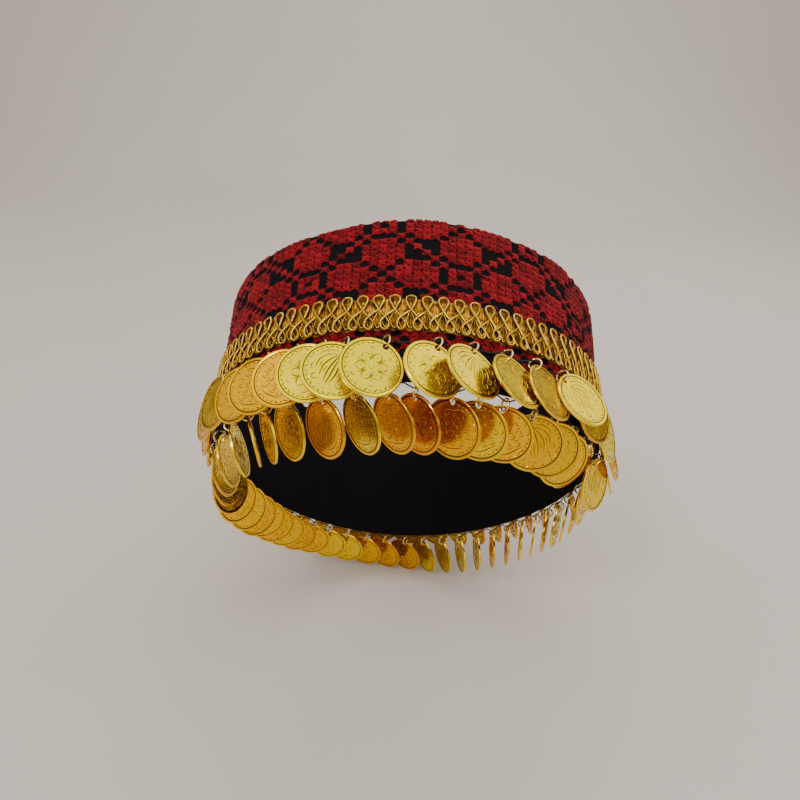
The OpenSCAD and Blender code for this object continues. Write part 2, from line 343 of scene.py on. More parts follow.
def red_floss():
    """Twisted yarn with a painted highlight down each strand's middle, painted shade down its sides and in
    the grooves of its twist, and its own tone for each cell and strand.
    """
    surface = Surface("red_floss", {"Roughness": 0.5, "Specular IOR Level": 0.22})
    u, v = surface.uv()
    # The twist bumps the yarn, and in its colour it is painted shade in the grooves and painted highlight
    # on the plies
    ply = surface.sine(surface.plus(surface.waves(u, FLOSS_TWIST), surface.times(v, 6.0)))
    hair = surface.noise(2600, 3)
    tone = surface.plus(surface.times(surface.stored("tone"), 0.36), surface.times(hair, 0.3))
    # Painted light across each strand: a highlight down its middle and shade down its sides
    strand = surface.calculate("SUBTRACT", surface.sine(surface.times(v, math.pi)), 0.5)
    tone = surface.plus(tone, surface.times(strand, 0.75))
    surface.feed("Base Color", surface.ramp(surface.plus(tone, surface.times(ply, 0.12)), [
        (0.22, (0.012, 0.0001, 0.0004)), (0.5, (0.17, 0.0012, 0.004)), (0.85, (0.62, 0.01, 0.022))]))
    surface.bump(surface.plus(ply, hair), 1.0, 0.00016)
    return surface.material


def gilt_cord():
    """Cord wrapped in fine gilt, with a painted highlight where it faces out and painted shade where it
    meets the strip.
    """
    surface = Surface("gilt_cord", {"Metallic": 1.0, "Roughness": 0.14})
    u, v = surface.uv()
    round_it = surface.times(v, 2 * math.pi)
    wrap = surface.sine(surface.plus(surface.waves(u, CORD_WRAP), round_it))
    # Painted light round the cord: lighter on its outer side, darker on the side against the strip
    facing = surface.calculate("COSINE", round_it)
    worn_gilt = surface.plus(surface.times(surface.noise(500, 3), 0.6), surface.times(wrap, 0.1))
    surface.feed("Base Color", surface.ramp(surface.plus(worn_gilt, surface.times(facing, 0.24)), [
        (0.2, (0.2, 0.06, 0.002)), (0.37, (0.95, 0.5, 0.015)), (0.54, (1.0, 0.8, 0.13))]))
    surface.bump(wrap, 0.6, 0.0001)
    return surface.material


def gilt_strip():
    """Upright gilt wraps, darker where the mesh holds painted shade and painted shadow."""
    surface = Surface("gilt_strip", {"Metallic": 0.85, "Roughness": 0.4})
    u, _ = surface.uv()
    pleat = surface.sine(surface.waves(u, PLEAT))
    patch = surface.noise(420, 4)
    gold = surface.ramp(surface.plus(patch, surface.times(pleat, 0.14)), [
        (0.32, (0.06, 0.017, 0.001)), (0.48, (0.44, 0.17, 0.006)), (0.62, (1.0, 0.5, 0.03))])
    # Painted shade and shadow that the mesh holds, lightened in patches by the noise
    gap = surface.times(surface.stored("gap"), surface.span(patch, 0.4, 0.62, 1.0, 0.72))
    surface.feed("Base Color", surface.mix(gap, gold, (0.03, 0.008, 0.001)))
    surface.bump(surface.plus(pleat, patch), 0.4, 0.0001)
    return surface.material


def gilt_coin():
    """Struck gilt with smudges, its own tone for each coin, which carries painted light, and painted shade
    at the foot of the relief and in the groove inside the rim.
    """
    surface = Surface("gilt_coin", {"Metallic": 1.0})
    smudge = surface.noise(160, 5)
    grain = surface.noise(1700, 3)
    tone = surface.plus(surface.times(surface.stored("tone"), 0.8), surface.times(smudge, 0.3))
    gold = surface.ramp(tone, [
        (0.15, (0.76, 0.31, 0.003)), (0.5, (0.94, 0.5, 0.002)), (0.82, (1.0, 0.8, 0.001))])
    # Painted shade at the relief's foot and in the groove, broken up by the grain
    clear_of_painted_shade = surface.span(surface.plus(surface.stored("rise"), surface.times(grain, 0.2)), 0.55, 0.95, 0, 1)
    surface.feed("Base Color", surface.mix(clear_of_painted_shade, (0.05, 0.013, 0.0006), gold))
    surface.feed("Roughness", surface.span(smudge, 0.3, 0.75, 0.16, 0.34))
    surface.bump(grain, 0.3, 0.00006)
    return surface.material


def gilt_wire():
    surface = Surface("gilt_wire", {"Metallic": 1.0})
    mark = surface.noise(900, 3)
    surface.feed("Base Color", surface.ramp(mark, [(0.3, (0.95, 0.66, 0.16)), (0.7, (1.0, 0.84, 0.34))]))
    surface.feed("Roughness", surface.span(mark, 0.3, 0.7, 0.1, 0.24))
    return surface.material


def black_thread():
    surface = Surface("black_thread", {"Roughness": 0.8})
    strand = surface.noise(3000, 3)
    surface.feed("Base Color", surface.ramp(strand, [
        (0.3, (0.004, 0.004, 0.005)), (0.8, (0.03, 0.027, 0.03))]))
    surface.bump(strand, 0.6, 0.0001)
    return surface.material


def studio_floor():
    surface = Surface("studio_floor", {"Roughness": 0.7})
    patch = surface.noise(3, 3)
    surface.feed("Base Color", surface.ramp(patch, [(0.3, (0.69, 0.62, 0.565)), (0.7, (0.72, 0.65, 0.59))]))
    return surface.material


def finish_piece(obj, material, replaced=()):
    obj.data.materials.append(material)
    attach(obj, "root")
    if replaced:
        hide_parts(*replaced)
    return obj


# The cloth

# How far its face lies inside the solid's face, its top under the solid's, and its hem's height
INSET, TOP_DROP, HEM = 0.6, 0.3, 0.5
FOLD_RADIUS = (THICK - INSET) / 2
HEM_TOP = HEM - BELOW
# Stations round the loop, and steps up the face, over the fold, down the inside and round the hem
CLOTH_STATIONS = 360
FACE_STEPS, FOLD_STEPS, INSIDE_STEPS, HEM_STEPS = 39, 6, 13, 5


def cloth_face(s, h):
    """The outer face of the cloth and its normal, at a length and a height that goes on over the fold."""
    s, h = np.broadcast_arrays(np.asarray(s, float), np.asarray(h, float))
    top = top_at(s) - TOP_DROP
    ripple = 0.1 * np.sin(s / 9.0 + h / 17.0) + 0.07 * np.sin(s / 4.3 - h / 6.0)
    folded = np.clip((h - (top - FOLD_RADIUS)) / FOLD_RADIUS, 0, np.pi)
    z = np.where(folded > 0, top - FOLD_RADIUS + FOLD_RADIUS * np.sin(folded), h)
    out = crown(np.minimum(h, top)) - INSET + ripple - FOLD_RADIUS * (1 - np.cos(folded))
    normal = np.cos(folded)[..., None] * outward(s) + np.sin(folded)[..., None] * np.array([0, 0, 1.0])
    return on_loop(s, z, out), normal


def make_cloth():
    """The folded cloth as one closed skin."""
    s = np.arange(CLOTH_STATIONS) * LOOP / CLOTH_STATIONS
    fold_start = top_at(s) - TOP_DROP - FOLD_RADIUS
    columns = []
    for share in np.linspace(0, 1, FACE_STEPS + 1):
        columns.append(cloth_face(s, HEM_TOP + share * (fold_start - HEM_TOP))[0])
    for share in np.linspace(0, 1, FOLD_STEPS + 1)[1:]:
        columns.append(cloth_face(s, fold_start + share * np.pi * FOLD_RADIUS)[0])
    for share in np.linspace(0, 1, INSIDE_STEPS + 1)[1:]:
        z = fold_start + share * (HEM_TOP - fold_start)
        wrinkle = 0.12 * np.sin(s / 6.0 + z / 5.0) + 0.08 * np.sin(s / 2.6 - z / 9.0)
        columns.append(on_loop(s, z, crown(z) - THICK + np.where(share < 1, wrinkle, 0)))
    for angle in np.linspace(0, np.pi, HEM_STEPS + 1)[1:-1]:
        out = crown(HEM_TOP) - INSET - FOLD_RADIUS - FOLD_RADIUS * np.cos(angle)
        columns.append(on_loop(s, HEM_TOP - HEM * np.sin(angle), out))
    points = np.stack(columns, 1)
    lengths = np.linalg.norm(np.diff(points, axis=1), axis=-1)
    walk = np.concatenate([np.zeros((CLOTH_STATIONS, 1)), np.cumsum(lengths, 1)], 1)
    uv = np.stack(np.broadcast_arrays(s[:, None], walk), -1) * MM
    # Columns go up the outer face, so with stations going round this order faces out
    faces = grid_faces(CLOTH_STATIONS, points.shape[1], True, True)
    return mesh_object("band_cloth", worn(points).reshape(-1, 3), faces, uv.reshape(-1, 2))


# The stitches

# Cells round the loop and a cell's height, and where the cell of column 0 and row 0 has its middle
CELLS, CELL_HIGH = 180, 2.45
CELL_START, ROW_START = -13.0, 10.4
CELL_WIDE = LOOP / CELLS
ROWS = range(-18, 12)
# How far a cell's middle is at least over the cloth's lower edge, and at most over its top edge
OVER_EDGE, OVER_TOP = 1.6, 0.6
# Half of the pattern's repeat, in cells
HALF = 9
# The stitches' pieces, each between two angles in degrees from the front
STITCH_PIECES = (("stitches_front", -1, 60), ("stitches_sides", 60, 118), ("stitches_back", 118, 180))

# A yarn is two strands. Stations along a strand, how much each is lifted and how thick it is, and
# the angles of its points over the cloth
ALONG = np.linspace(0, 1, 5)
LIFT = np.array([-0.1, 0.6, 0.8, 0.6, -0.1])
PINCH = np.array([0.7, 0.96, 1.0, 0.96, 0.7])
AROUND = np.radians([-100, -33, 33, 100])
# Half of a strand's width, its height, and how far the twist moves it sideways and up
STRAND_HALF, STRAND_HIGH, STRAND_APART, STRAND_LIFT = 0.43, 0.38, 0.43, 0.13
# A yarn's reach from a cell's middle, in cells, its height, how far the upper yarn is over the lower,
# and its twist in radians
YARN_REACH, YARN_HIGH, YARN_OVER, YARN_TWIST = 0.46, 0.24, 0.24, 1.9


def build_chart():
    """A quarter of the repeat, true where it is red, by row and column.

    Black crosses lie at (0, 0) and (9, 9), framed squares at (9, 0) and (0, 9), and between them a black
    block with a red diagonal.
    """
    red = np.ones((HALF + 1, HALF + 1), bool)
    for r in range(HALF + 1):
        for c in range(HALF + 1):
            for middle_c, middle_r in ((HALF, 0), (0, HALF)):
                dc, dr = abs(c - middle_c), abs(r - middle_r)
                if (dc, dr) == (0, 0) or (dc == 2 and dr <= 1) or (dr == 2 and dc <= 1):
                    red[r, c] = False
                if (dc, dr) in ((2, 3), (3, 2)):
                    red[r, c] = False
            for middle in (0, HALF):
                if abs(c - middle) == abs(r - middle) <= 2:
                    red[r, c] = False
            if 3 <= c <= 6 and 3 <= r <= 6 and c + r != HALF:
                red[r, c] = False
    return red


def red_cells():
    """The middle of each red cell, as a length along the loop and a height."""
    chart = build_chart()
    to_middle = [min(k % (2 * HALF), 2 * HALF - k % (2 * HALF)) for k in range(CELLS)]
    cells = np.array([(c, r) for c in range(CELLS) for r in ROWS
                      if chart[to_middle[r % (2 * HALF)], to_middle[c]]])
    s = CELL_START + cells[:, 0] * CELL_WIDE
    h = ROW_START + cells[:, 1] * CELL_HIGH
    keep = (h > -BELOW + OVER_EDGE) & (h < top_at(s) + OVER_TOP)
    return s[keep], h[keep]


def yarns(s, h, sign, over):
    """One yarn in each cell, as two twisted strands that rise out of the cloth and go back into it."""
    count = len(s)
    jitter = rng.normal(0, 0.1, (count, 4))
    reach = YARN_REACH * np.array([CELL_WIDE, sign * CELL_HIGH])
    start = jitter[:, :2] - reach
    way = jitter[:, 2:] + reach - start
    length = np.linalg.norm(way, axis=1, keepdims=True)
    way /= length
    side = np.stack([-way[:, 1], way[:, 0]], -1)
    bow = rng.normal(0, 0.1, count)
    top = YARN_HIGH + YARN_OVER * over + rng.normal(0, 0.035, count)
    twist = rng.uniform(-0.5, 0.5, count)
    turned = twist[:, None] + YARN_TWIST * (ALONG - 0.5)[None]
    reached = way[:, None] * (ALONG[None] * length)[..., None]
    walk = (ALONG[None, :, None] * length[:, :, None]) * MM
    uv = np.stack(np.broadcast_arrays(walk, np.linspace(0, 1, len(AROUND))[None, None]), -1)
    strands = []
    for strand in (-1, 1):
        away = strand * STRAND_APART * np.cos(turned) + bow[:, None] * np.sin(np.pi * ALONG)[None]
        middle = start[:, None] + reached + away[..., None] * side[:, None]
        height = top[:, None] * LIFT[None] + strand * STRAND_LIFT * np.sin(turned) * PINCH[None]
        off = (STRAND_HALF * PINCH)[:, None] * np.sin(AROUND)[None]
        place = middle[:, :, None] + off[None, :, :, None] * side[:, None, None]
        lifted = height[:, :, None] + STRAND_HIGH * np.cos(AROUND)[None, None] * PINCH[None, :, None]
        face, normal = cloth_face(s[:, None, None] + place[..., 0], h[:, None, None] + place[..., 1])
        strands.append((face + lifted[..., None] * normal, uv))
    return strands


def make_stitches():
    """Each red cell is a cross of two yarns, in three pieces round the loop."""
    s, h = red_cells()
    strands = yarns(s, h, 1, 0) + yarns(s, h, -1, 1)
    size = len(ALONG) * len(AROUND)
    template = grid_faces(len(ALONG), len(AROUND))
    tone = np.clip(rng.normal(0.5, 0.2, len(s)), 0, 1)
    angle = np.abs(angle_at(s))
    made = []
    for name, low, high in STITCH_PIECES:
        chosen = np.flatnonzero((angle > low) & (angle <= high))
        verts = np.concatenate([v[chosen].reshape(-1, 3) for v, uv in strands])
        uvs = np.concatenate([uv[chosen].reshape(-1, 2) for v, uv in strands])
        starts = size * np.arange(len(strands) * len(chosen))
        faces = (template[None] + starts[:, None, None]).reshape(-1, 4)
        tones = [np.clip(tone[chosen] + rng.normal(0, 0.25, len(chosen)), 0, 1) for _ in strands]
        made.append(mesh_object(name, worn(verts), faces, uvs, tone=np.repeat(np.concatenate(tones), size)))
    return made


# The braid

PITCH = LOOP / LOOPS
# One loop of the cord: each point's place along the braid, height and distance from the cloth
PICOT = [
    (0.0, -5.8, 1.05), (0.95, -4.0, 1.25), (1.62, -2.3, 1.35), (1.32, -0.95, 1.35), (0.0, -0.42, 1.35),
    (-1.32, -0.95, 1.4), (-1.62, -2.3, 1.5), (-0.95, -4.0, 1.6), (0.0, -5.8, 1.75),
    (1.3, -7.6, 1.55), (2.75, -9.2, 1.2), (3.8, -10.9, 1.15), (3.75, -12.8, 1.2), (2.5, -13.75, 1.3),
    (1.25, -12.9, 1.4), (0.95, -11.2, 1.5), (1.6, -9.8, 1.65), (2.9, -8.5, 1.75), (4.3, -7.1, 1.45),
]
CORD_RADIUS = 0.48
# The fine cords' radius, distance from the cloth and points in one loop
PLAIT_RADIUS, PLAIT_OUT, PLAIT_POINTS = 0.3, 0.85, 8
# The strip's upper and lower edge, and its ribs in one loop, points across a rib and points up a rib
STRIP_TOP, STRIP_BOTTOM = -0.75, -13.4
RIBS, RIB_POINTS, STRIP_ROWS = 6, 3, 17
# The height at which the cord crosses itself. Below it the strip has painted shade under the cords, fully
# from 1.6 lower
CROSSING, SHADE_DEEPENS = -5.8, 1.6


def along_loop(points, per):
    """Repeats points once for each loop of the braid, shifts each a little, and smooths them."""
    p = np.asarray(points, float)
    n = len(p)
    whole = np.concatenate([p + [k * PITCH, 0, 0] for k in range(-1, LOOPS + 1)])
    whole[:, 0] += LOOP_START + rng.normal(0, 0.05, len(whole))
    whole[:, 1] += rng.normal(0, 0.05, len(whole))
    # The first and last loop run into each other
    whole[-n:] = whole[n:2 * n] + [LOOPS * PITCH, 0, 0]
    whole[:n] = whole[-2 * n:-n] - [LOOPS * PITCH, 0, 0]
    return smooth_path(whole, per)[n * per:n * per * (LOOPS + 1)]


def loop_cord(points, per, radius, sides):
    """A cord all round the braid, from the points of one loop."""
    q = along_loop(points, per)
    centres = on_loop(q[:, 0], q[:, 1], crown(q[:, 1]) + q[:, 2])
    return tube(centres, outward(q[:, 0]), radius, sides)


def make_cord():
    verts, faces, uv = loop_cord(PICOT, per=3, radius=CORD_RADIUS, sides=7)
    return mesh_object("braid_cord", worn(verts), faces, uv)


def plait_path(middle, reach, weave):
    """One loop of a fine cord that waves up and down by reach, and in and out by weave."""
    x = np.arange(PLAIT_POINTS) * PITCH / PLAIT_POINTS
    angle = 2 * np.pi * x / PITCH
    return np.stack([x, middle + reach * np.cos(angle), PLAIT_OUT + weave * np.sin(2 * angle)], -1)


def make_plait():
    """Two fine cords that cross under the looped one."""
    paths = plait_path(-9.6, 3.0, 0.12), plait_path(-9.9, -2.9, -0.12)
    cords = [loop_cord(path, per=2, radius=PLAIT_RADIUS, sides=6) for path in paths]
    verts, faces, uv = joined(cords, 1)
    return mesh_object("braid_plait", worn(verts), faces, uv)


def make_strip():
    """The strip under the cords, wrapped in upright turns."""
    count = LOOPS * RIBS * RIB_POINTS
    s = np.arange(count) * LOOP / count
    share = np.linspace(0, 1, STRIP_ROWS)
    z = (STRIP_TOP + share * (STRIP_BOTTOM - STRIP_TOP))[None]
    scallop = 0.35 * np.cos(2 * np.pi * (s - LOOP_START) / PITCH)[:, None] * (1 - 2 * share[None])
    rib = np.abs(np.sin(np.pi * s / (PITCH / RIBS)))[:, None]
    belly = np.sin(np.pi * np.clip(share, 0.02, 0.98))[None] ** 0.5
    lean = 0.5 * np.sin(np.pi * share)[None] * np.where(z < -7, 1, 0)
    out = 0.12 + (0.42 + 0.28 * rib) * belly
    verts = worn(on_loop(s[:, None] + lean, z + scallop, crown(z) + out)).reshape(-1, 3)
    uv = np.stack(np.broadcast_arrays(s[:, None], -z), -1) * MM
    # Painted shade on the strip below the cord's crossing, deeper in the valleys between the ribs
    gap = np.clip((CROSSING - z) / SHADE_DEEPENS, 0, 1) * (0.75 + 0.25 * (1 - rib))

    # Painted shadow on the strip along both sides of the cord, alike in each loop
    line = np.concatenate([np.array(PICOT) + [k * PITCH, 0, 0] for k in range(-2, 3)])
    line = smooth_path(line, 4)[:, :2]
    first = slice(0, RIBS * RIB_POINTS)
    x = s[first, None] + lean - LOOP_START
    spots = np.stack([((x + PITCH / 2) % PITCH) - PITCH / 2, (z + scallop)[first]], -1)
    near = np.linalg.norm(spots[:, :, None] - line[None, None], axis=-1).min(-1)
    painted_cord_shadow = np.tile(np.clip((1.05 - near) / 0.5, 0, 1) ** 0.7, (LOOPS, 1))
    gap = np.maximum(gap, 0.9 * painted_cord_shadow)
    faces = grid_faces(count, STRIP_ROWS, True)
    return mesh_object("braid_strip", verts, faces, uv.reshape(-1, 2), gap=gap.ravel())


# Where the part has its coins and rings

def islands(name):
    """The loose solids of a CAD node, each as an array of its points in metres."""
    bm = bmesh.new()
    bm.from_mesh(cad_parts[name].data)
    bmesh.ops.remove_doubles(bm, verts=bm.verts, dist=2e-6)
    bm.verts.ensure_lookup_table()
    seen = np.zeros(len(bm.verts), bool)
    found = []
    for first in bm.verts:
        if seen[first.index]:
            continue
        seen[first.index] = True
        stack, points = [first], []
        while stack:
            v = stack.pop()
            points.append(v.co[:])
            for edge in v.link_edges:
                w = edge.other_vert(v)
                if not seen[w.index]:
                    seen[w.index] = True
                    stack.append(w)
        found.append(np.array(points))
    bm.free()
    return found


def least_axis(points):
    """The direction in which points reach least, which is a coin's or a ring's axis."""
    return np.linalg.svd(points - points.mean(0), full_matrices=False)[2][2]


def circle_middle(points, normal):
    """The middle of the circle through the outermost of points, in the plane across normal."""
    a = np.cross(normal, [0.3, 0.5, 0.8])
    a /= np.linalg.norm(a)
    b = np.cross(normal, a)
    middle = points.mean(0)
    for _ in range(4):
        d = points - middle
        x, y = d @ a, d @ b
        r = np.hypot(x, y)
        rim = r > r.max() * 0.975
        m = np.stack([2 * x[rim], 2 * y[rim], np.ones(rim.sum())], -1)
        cx, cy, _ = np.linalg.lstsq(m, x[rim] ** 2 + y[rim] ** 2, rcond=None)[0]
        middle = middle + cx * a + cy * b
    heights = points @ normal
    return middle + normal * (heights.max() + heights.min() - 2 * middle @ normal) / 2


LOOP_AXIS = turn(np.array([0, 0, 1.0]))
# Radii in millimetres between which a coin has points only round its hole
HOLE_FROM, HOLE_TO = 7.7, 9.6


def coin_frames(name):
    """Each coin's middle, and its across, up and face directions."""
    found = []
    for points in islands(name):
        face = least_axis(points)
        middle = circle_middle(points, face)
        if face @ (middle - (middle @ LOOP_AXIS) * LOOP_AXIS) < 0:
            face = -face
        d = points - middle
        flat = d - np.outer(d @ face, face)
        r = np.linalg.norm(flat, axis=1) * METRE
        up = flat[(r > HOLE_FROM) & (r < HOLE_TO)].mean(0)
        up /= np.linalg.norm(up)
        found.append((middle, np.cross(up, face), up, face))
    return found


# The coins' ornament

# In millimetres. A mark of several points is a stroke, with its width first, and a mark of one point is
# a spot, with its radius first. These are the right side of the branch
BRANCH_SIDE = [
    (0.75, [(0, -6.4), (1.0, -3.0), (1.5, 1.4), (0.8, 5.6)]),
    (0.75, [(0, -6.4), (2.4, -3.5), (3.6, 0.2), (3.0, 4.2)]),
    (0.7, [(0, -6.4), (3.7, -4.7), (5.7, -1.4), (5.3, 2.0)]),
    (0.55, [(3.0, 4.2), (4.0, 5.7), (5.3, 4.9), (4.7, 3.5), (4.0, 4.2)]),
    (0.5, [(5.3, 2.0), (6.6, 2.5), (7.0, 0.9), (6.2, 0.3)]),
    (0.65, [(0.8, -7.3), (3.2, -6.8), (5.5, -5.1), (6.7, -2.6)]),
    (0.45, [(2.2, -0.6), (2.6, 0.9), (2.3, 2.2)]),
    (0.45, [(4.3, -2.0), (4.6, -0.6), (4.4, 0.9)]),
    (0.4, [(1.9, 6.7)]),
    (0.36, [(2.4, -2.4)]),
]
BRANCH_STEM = [(0.7, [(0, -5.6), (0, -1.2), (0, 3.0), (0, 6.3)]), (0.42, [(0, 7.2)])]


def branch():
    """A spray of leaves, alike on both sides of its stem."""
    marks = []
    for side in (-1, 1):
        marks += [(width, [(side * x, y) for x, y in points]) for width, points in BRANCH_SIDE]
    return marks + BRANCH_STEM


def outward_and_round(angle):
    """The direction of an angle in radians, and the direction a quarter turn on from it."""
    u = np.array([math.cos(angle), math.sin(angle)])
    return u, np.array([-u[1], u[0]])


def rosette():
    """Six petals round a boss, with a stem and a curl between each two, and a ring of dots."""
    marks = []
    for k in range(6):
        u, n = outward_and_round(k * math.pi / 3 + math.pi / 2)
        for bend in (-1, 1):
            marks.append((0.6, [u * 1.7, u * 3.1 + n * 1.4 * bend, u * 4.6 + n * 1.15 * bend, u * 5.5]))
        marks.append((0.42, [u * 3.5]))
        u, n = outward_and_round(k * math.pi / 3 + math.pi * 2 / 3)
        marks.append((0.5, [u * 2.2, u * 4.0, u * 5.8]))
        marks.append((0.45, [u * 6.4 - n * 0.9, u * 7.3 - n * 0.3, u * 6.9 + n * 0.4, u * 6.2]))
    marks.append((1.15, [(0, 0)]))
    for k in range(12):
        u, _ = outward_and_round((k + 0.5) * math.pi / 6 + 0.13)
        marks.append((0.3, [u * 7.4]))
    return marks


def scrolls():
    """Four rows of curls, with a wavy line over them and one under them."""
    marks = []
    for level in (-4.6, -1.6, 1.4, 4.4):
        reach = math.sqrt(7.4**2 - (abs(level) + 0.9) ** 2)
        count = int(reach * 2 / 2.6)
        step = 2 * reach / count
        for k in range(count):
            x = -reach + k * step
            s = 1 if (k + int(level)) % 2 else -1
            marks.append((0.5, [
                (x, level), (x + 0.3 * step, level + s), (x + 0.75 * step, level + 0.7 * s),
                (x + 0.7 * step, level - 0.3 * s), (x + 0.45 * step, level)]))
            marks.append((0.45, [
                (x + 0.2 * step, level - 0.9 * s), (x + 0.6 * step, level - 1.2 * s),
                (x + step, level - 0.7 * s)]))
    marks.append((0.6, [(-5.6, 5.4), (-2.6, 6.5), (0.8, 6.3), (3.4, 6.9), (5.0, 5.6)]))
    marks.append((0.6, [(-4.6, -6.2), (-1.8, -7.1), (1.6, -6.7), (4.6, -6.2)]))
    return marks


def leaf_ring(leaves=32):
    """Small leaves inside the rim, with room for the hole at the top."""
    marks = []
    for k in range(1, leaves - 1):
        u, n = outward_and_round(math.radians(90 + (k + 0.5) * 360 / leaves))
        lean = 0.75 if k % 2 else -0.45
        v = n * (1 if k < leaves / 2 else -1) * math.cos(lean) + u * math.sin(lean)
        marks.append((0.62, [u * 8.62 - v * 0.85, u * 8.76, u * 8.62 + v * 0.8]))
    return marks


def stroke(points, width):
    """A raised stroke on a coin's field, with a ridge along its middle."""
    p = smooth_path(points, 2)
    side = unit(np.gradient(p, axis=0)) @ [[0, 1], [-1, 0]]
    taper = np.sin(np.pi * np.clip(np.linspace(0, 1, len(p)) * 0.94 + 0.03, 0, 1)) ** 0.6
    off = side * (width / 2 * taper)[:, None]
    foot = np.full(len(p), FIELD - FOOT)
    edges = np.column_stack([p + off, foot]), np.column_stack([p - off, foot])
    ridge = np.column_stack([p, FIELD + RISE * taper])
    verts = np.stack([edges[0], ridge, edges[1]], 1).reshape(-1, 3)
    return verts, grid_faces(len(p), 3)[:, ::-1], np.zeros((0, 3), int)


def spot(middle, radius, sides=7):
    """A raised dome on a coin's field."""
    a = np.arange(sides) * 2 * np.pi / sides
    ring = np.column_stack([np.cos(a), np.sin(a)]) * radius
    foot = np.column_stack([middle + ring, np.full(sides, FIELD - FOOT)])
    shoulder = np.column_stack([middle + 0.6 * ring, np.full(sides, FIELD + 0.8 * RISE)])
    verts = np.vstack([foot, shoulder, [[*middle, FIELD + RISE]]])
    k = np.arange(sides)
    after = (k + 1) % sides
    quads = np.stack([k, after, sides + after, sides + k], -1)
    return verts, quads, np.stack([sides + k, sides + after, np.full(sides, 2 * sides)], -1)


def raised(marks, spin=0):
    """The meshes of marks, turned by spin degrees."""
    c, d = math.cos(math.radians(spin)), math.sin(math.radians(spin))
    meshes = []
    for size, points in marks:
        p = np.asarray(points, float) @ [[c, d], [-d, c]]
        meshes.append(spot(p[0], size) if len(p) == 1 else stroke(p, size))
    return meshes


def relief_face(marks, spin=0):
    """Verts, quads and triangles of the ornament on one face of a coin, inside its ring of leaves."""
    return joined(raised(marks, spin) + raised(leaf_ring()), 1, 2)


# The coins and rings

# The radius of the groove inside the rim, and half of a coin's outline from its field to its edge, as
# radius and height
GROOVE = 9.62
COIN_HALF = [(9.3, FIELD), (GROOVE, FIELD), (9.86, RIM), (10.55, RIM), (COIN_RADIUS, RIM - 0.2)]
COIN_SIDES, HOLE_SIDES = 48, 24


def link_mesh(name, bm):
    """A new object in the scene from bm, which is then freed."""
    mesh = bpy.data.meshes.new(name)
    bm.to_mesh(mesh)
    bm.free()
    obj = bpy.data.objects.new(name, mesh)
    bpy.context.scene.collection.objects.link(obj)
    return obj


def coin_template():
    """One coin about its own axis, in millimetres: (verts, quads, triangles), with the hole cut."""
    profile = COIN_HALF + [(r, -z) for r, z in COIN_HALF[::-1]]
    a = np.arange(COIN_SIDES) * 2 * np.pi / COIN_SIDES
    bm = bmesh.new()
    rings = [[bm.verts.new((r * math.cos(t), r * math.sin(t), z)) for t in a] for r, z in profile]
    for ring, following in zip(rings, rings[1:]):
        for j in range(COIN_SIDES):
            i = (j + 1) % COIN_SIDES
            bm.faces.new([ring[j], following[j], following[i], ring[i]])
    bm.faces.new(rings[0])
    bm.faces.new(rings[-1][::-1])
    bmesh.ops.recalc_face_normals(bm, faces=bm.faces)
    body = link_mesh("coin_body", bm)

    bm = bmesh.new()
    bmesh.ops.create_cone(bm, cap_ends=True, segments=HOLE_SIDES, radius1=HOLE_RADIUS, radius2=HOLE_RADIUS,
                          depth=3, matrix=Matrix.Translation((0, HOLE_REACH, 0)))
    cutter = link_mesh("coin_cutter", bm)
    modifier = body.modifiers.new("hole", "BOOLEAN")
    modifier.operation, modifier.solver, modifier.object = "DIFFERENCE", "EXACT", cutter
    cut = bpy.data.meshes.new_from_object(body.evaluated_get(bpy.context.evaluated_depsgraph_get()))

    bm = bmesh.new()
    bm.from_mesh(cut)
    bmesh.ops.triangulate(bm, faces=[f for f in bm.faces if len(f.verts) > 4])
    bm.verts.ensure_lookup_table()
    verts = np.array([v.co[:] for v in bm.verts])
    quads, tris = [np.array([[v.index for v in f.verts] for f in bm.faces if len(f.verts) == corners])
                   for corners in (4, 3)]
    bm.free()
    for obj in (body, cutter):
        bpy.data.objects.remove(obj)
    return verts, quads, tris


def whole_coin(body, front, back):
    """The body with one ornament on each face."""
    verts, quads, tris = back
    return joined([body, front, (verts * [-1, 1, -1], quads, tris)], 1, 2)


def coin_tone_and_painted_light(level, x, y):
    """How yellow a coin's gilt is, from 0 to 1, with painted light set by where the coin hangs. The upper
    row's front, where most light falls, is the most yellow.
    """
    if level == "lower":
        return 0.59 if x > 0.015 else 0.46
    if y > -0.02 or x < -0.04:
        return 0.52
    return 0.85 if x < 0.012 else 0.66


def make_coins(level, row, templates):
    """One row of coins. Each draws its ornament and its tone, which carries painted light by the coin's
    place, and rise is 0 at the relief's foot and in the groove, where shade is painted.
    """
    parts, tones, rises = [], [], []
    for middle, across, up, face in row:
        verts, quads, tris = templates[int(rng.integers(len(templates)))]
        parts.append((verts @ np.stack([across, up, face]) * MM + middle, quads, tris))
        # The tone is painted light by the coin's place, with a random spread
        tone = rng.normal(coin_tone_and_painted_light(level, middle[0], middle[1]), 0.12)
        tones.append(np.full(len(verts), np.clip(tone, 0, 1)))
        z, r = np.abs(verts[:, 2]), np.hypot(verts[:, 0], verts[:, 1])
        # The relief's foot and the groove inside the rim get painted shade
        foot = (z < FIELD - 0.02) & (r < 9.5)
        rises.append(np.where(foot | (np.abs(r - GROOVE) < 0.02), 0, 1))
    verts, quads, tris = joined(parts, 1, 2)
    return mesh_object("coin_row_" + level, verts, [quads, tris],
                       tone=np.concatenate(tones), rise=np.concatenate(rises), sharp=38)


# A ring's slit, as half its angle in radians and its step sideways, and the ring's points and sides
SLIT_HALF, SLIT_STEP = 0.045, 0.12
RING_POINTS, RING_SIDES = 33, 9


def fan(ring):
    """Triangles that close a ring of points."""
    return [[ring[0], ring[k], ring[k + 1]] for k in range(1, len(ring) - 1)]


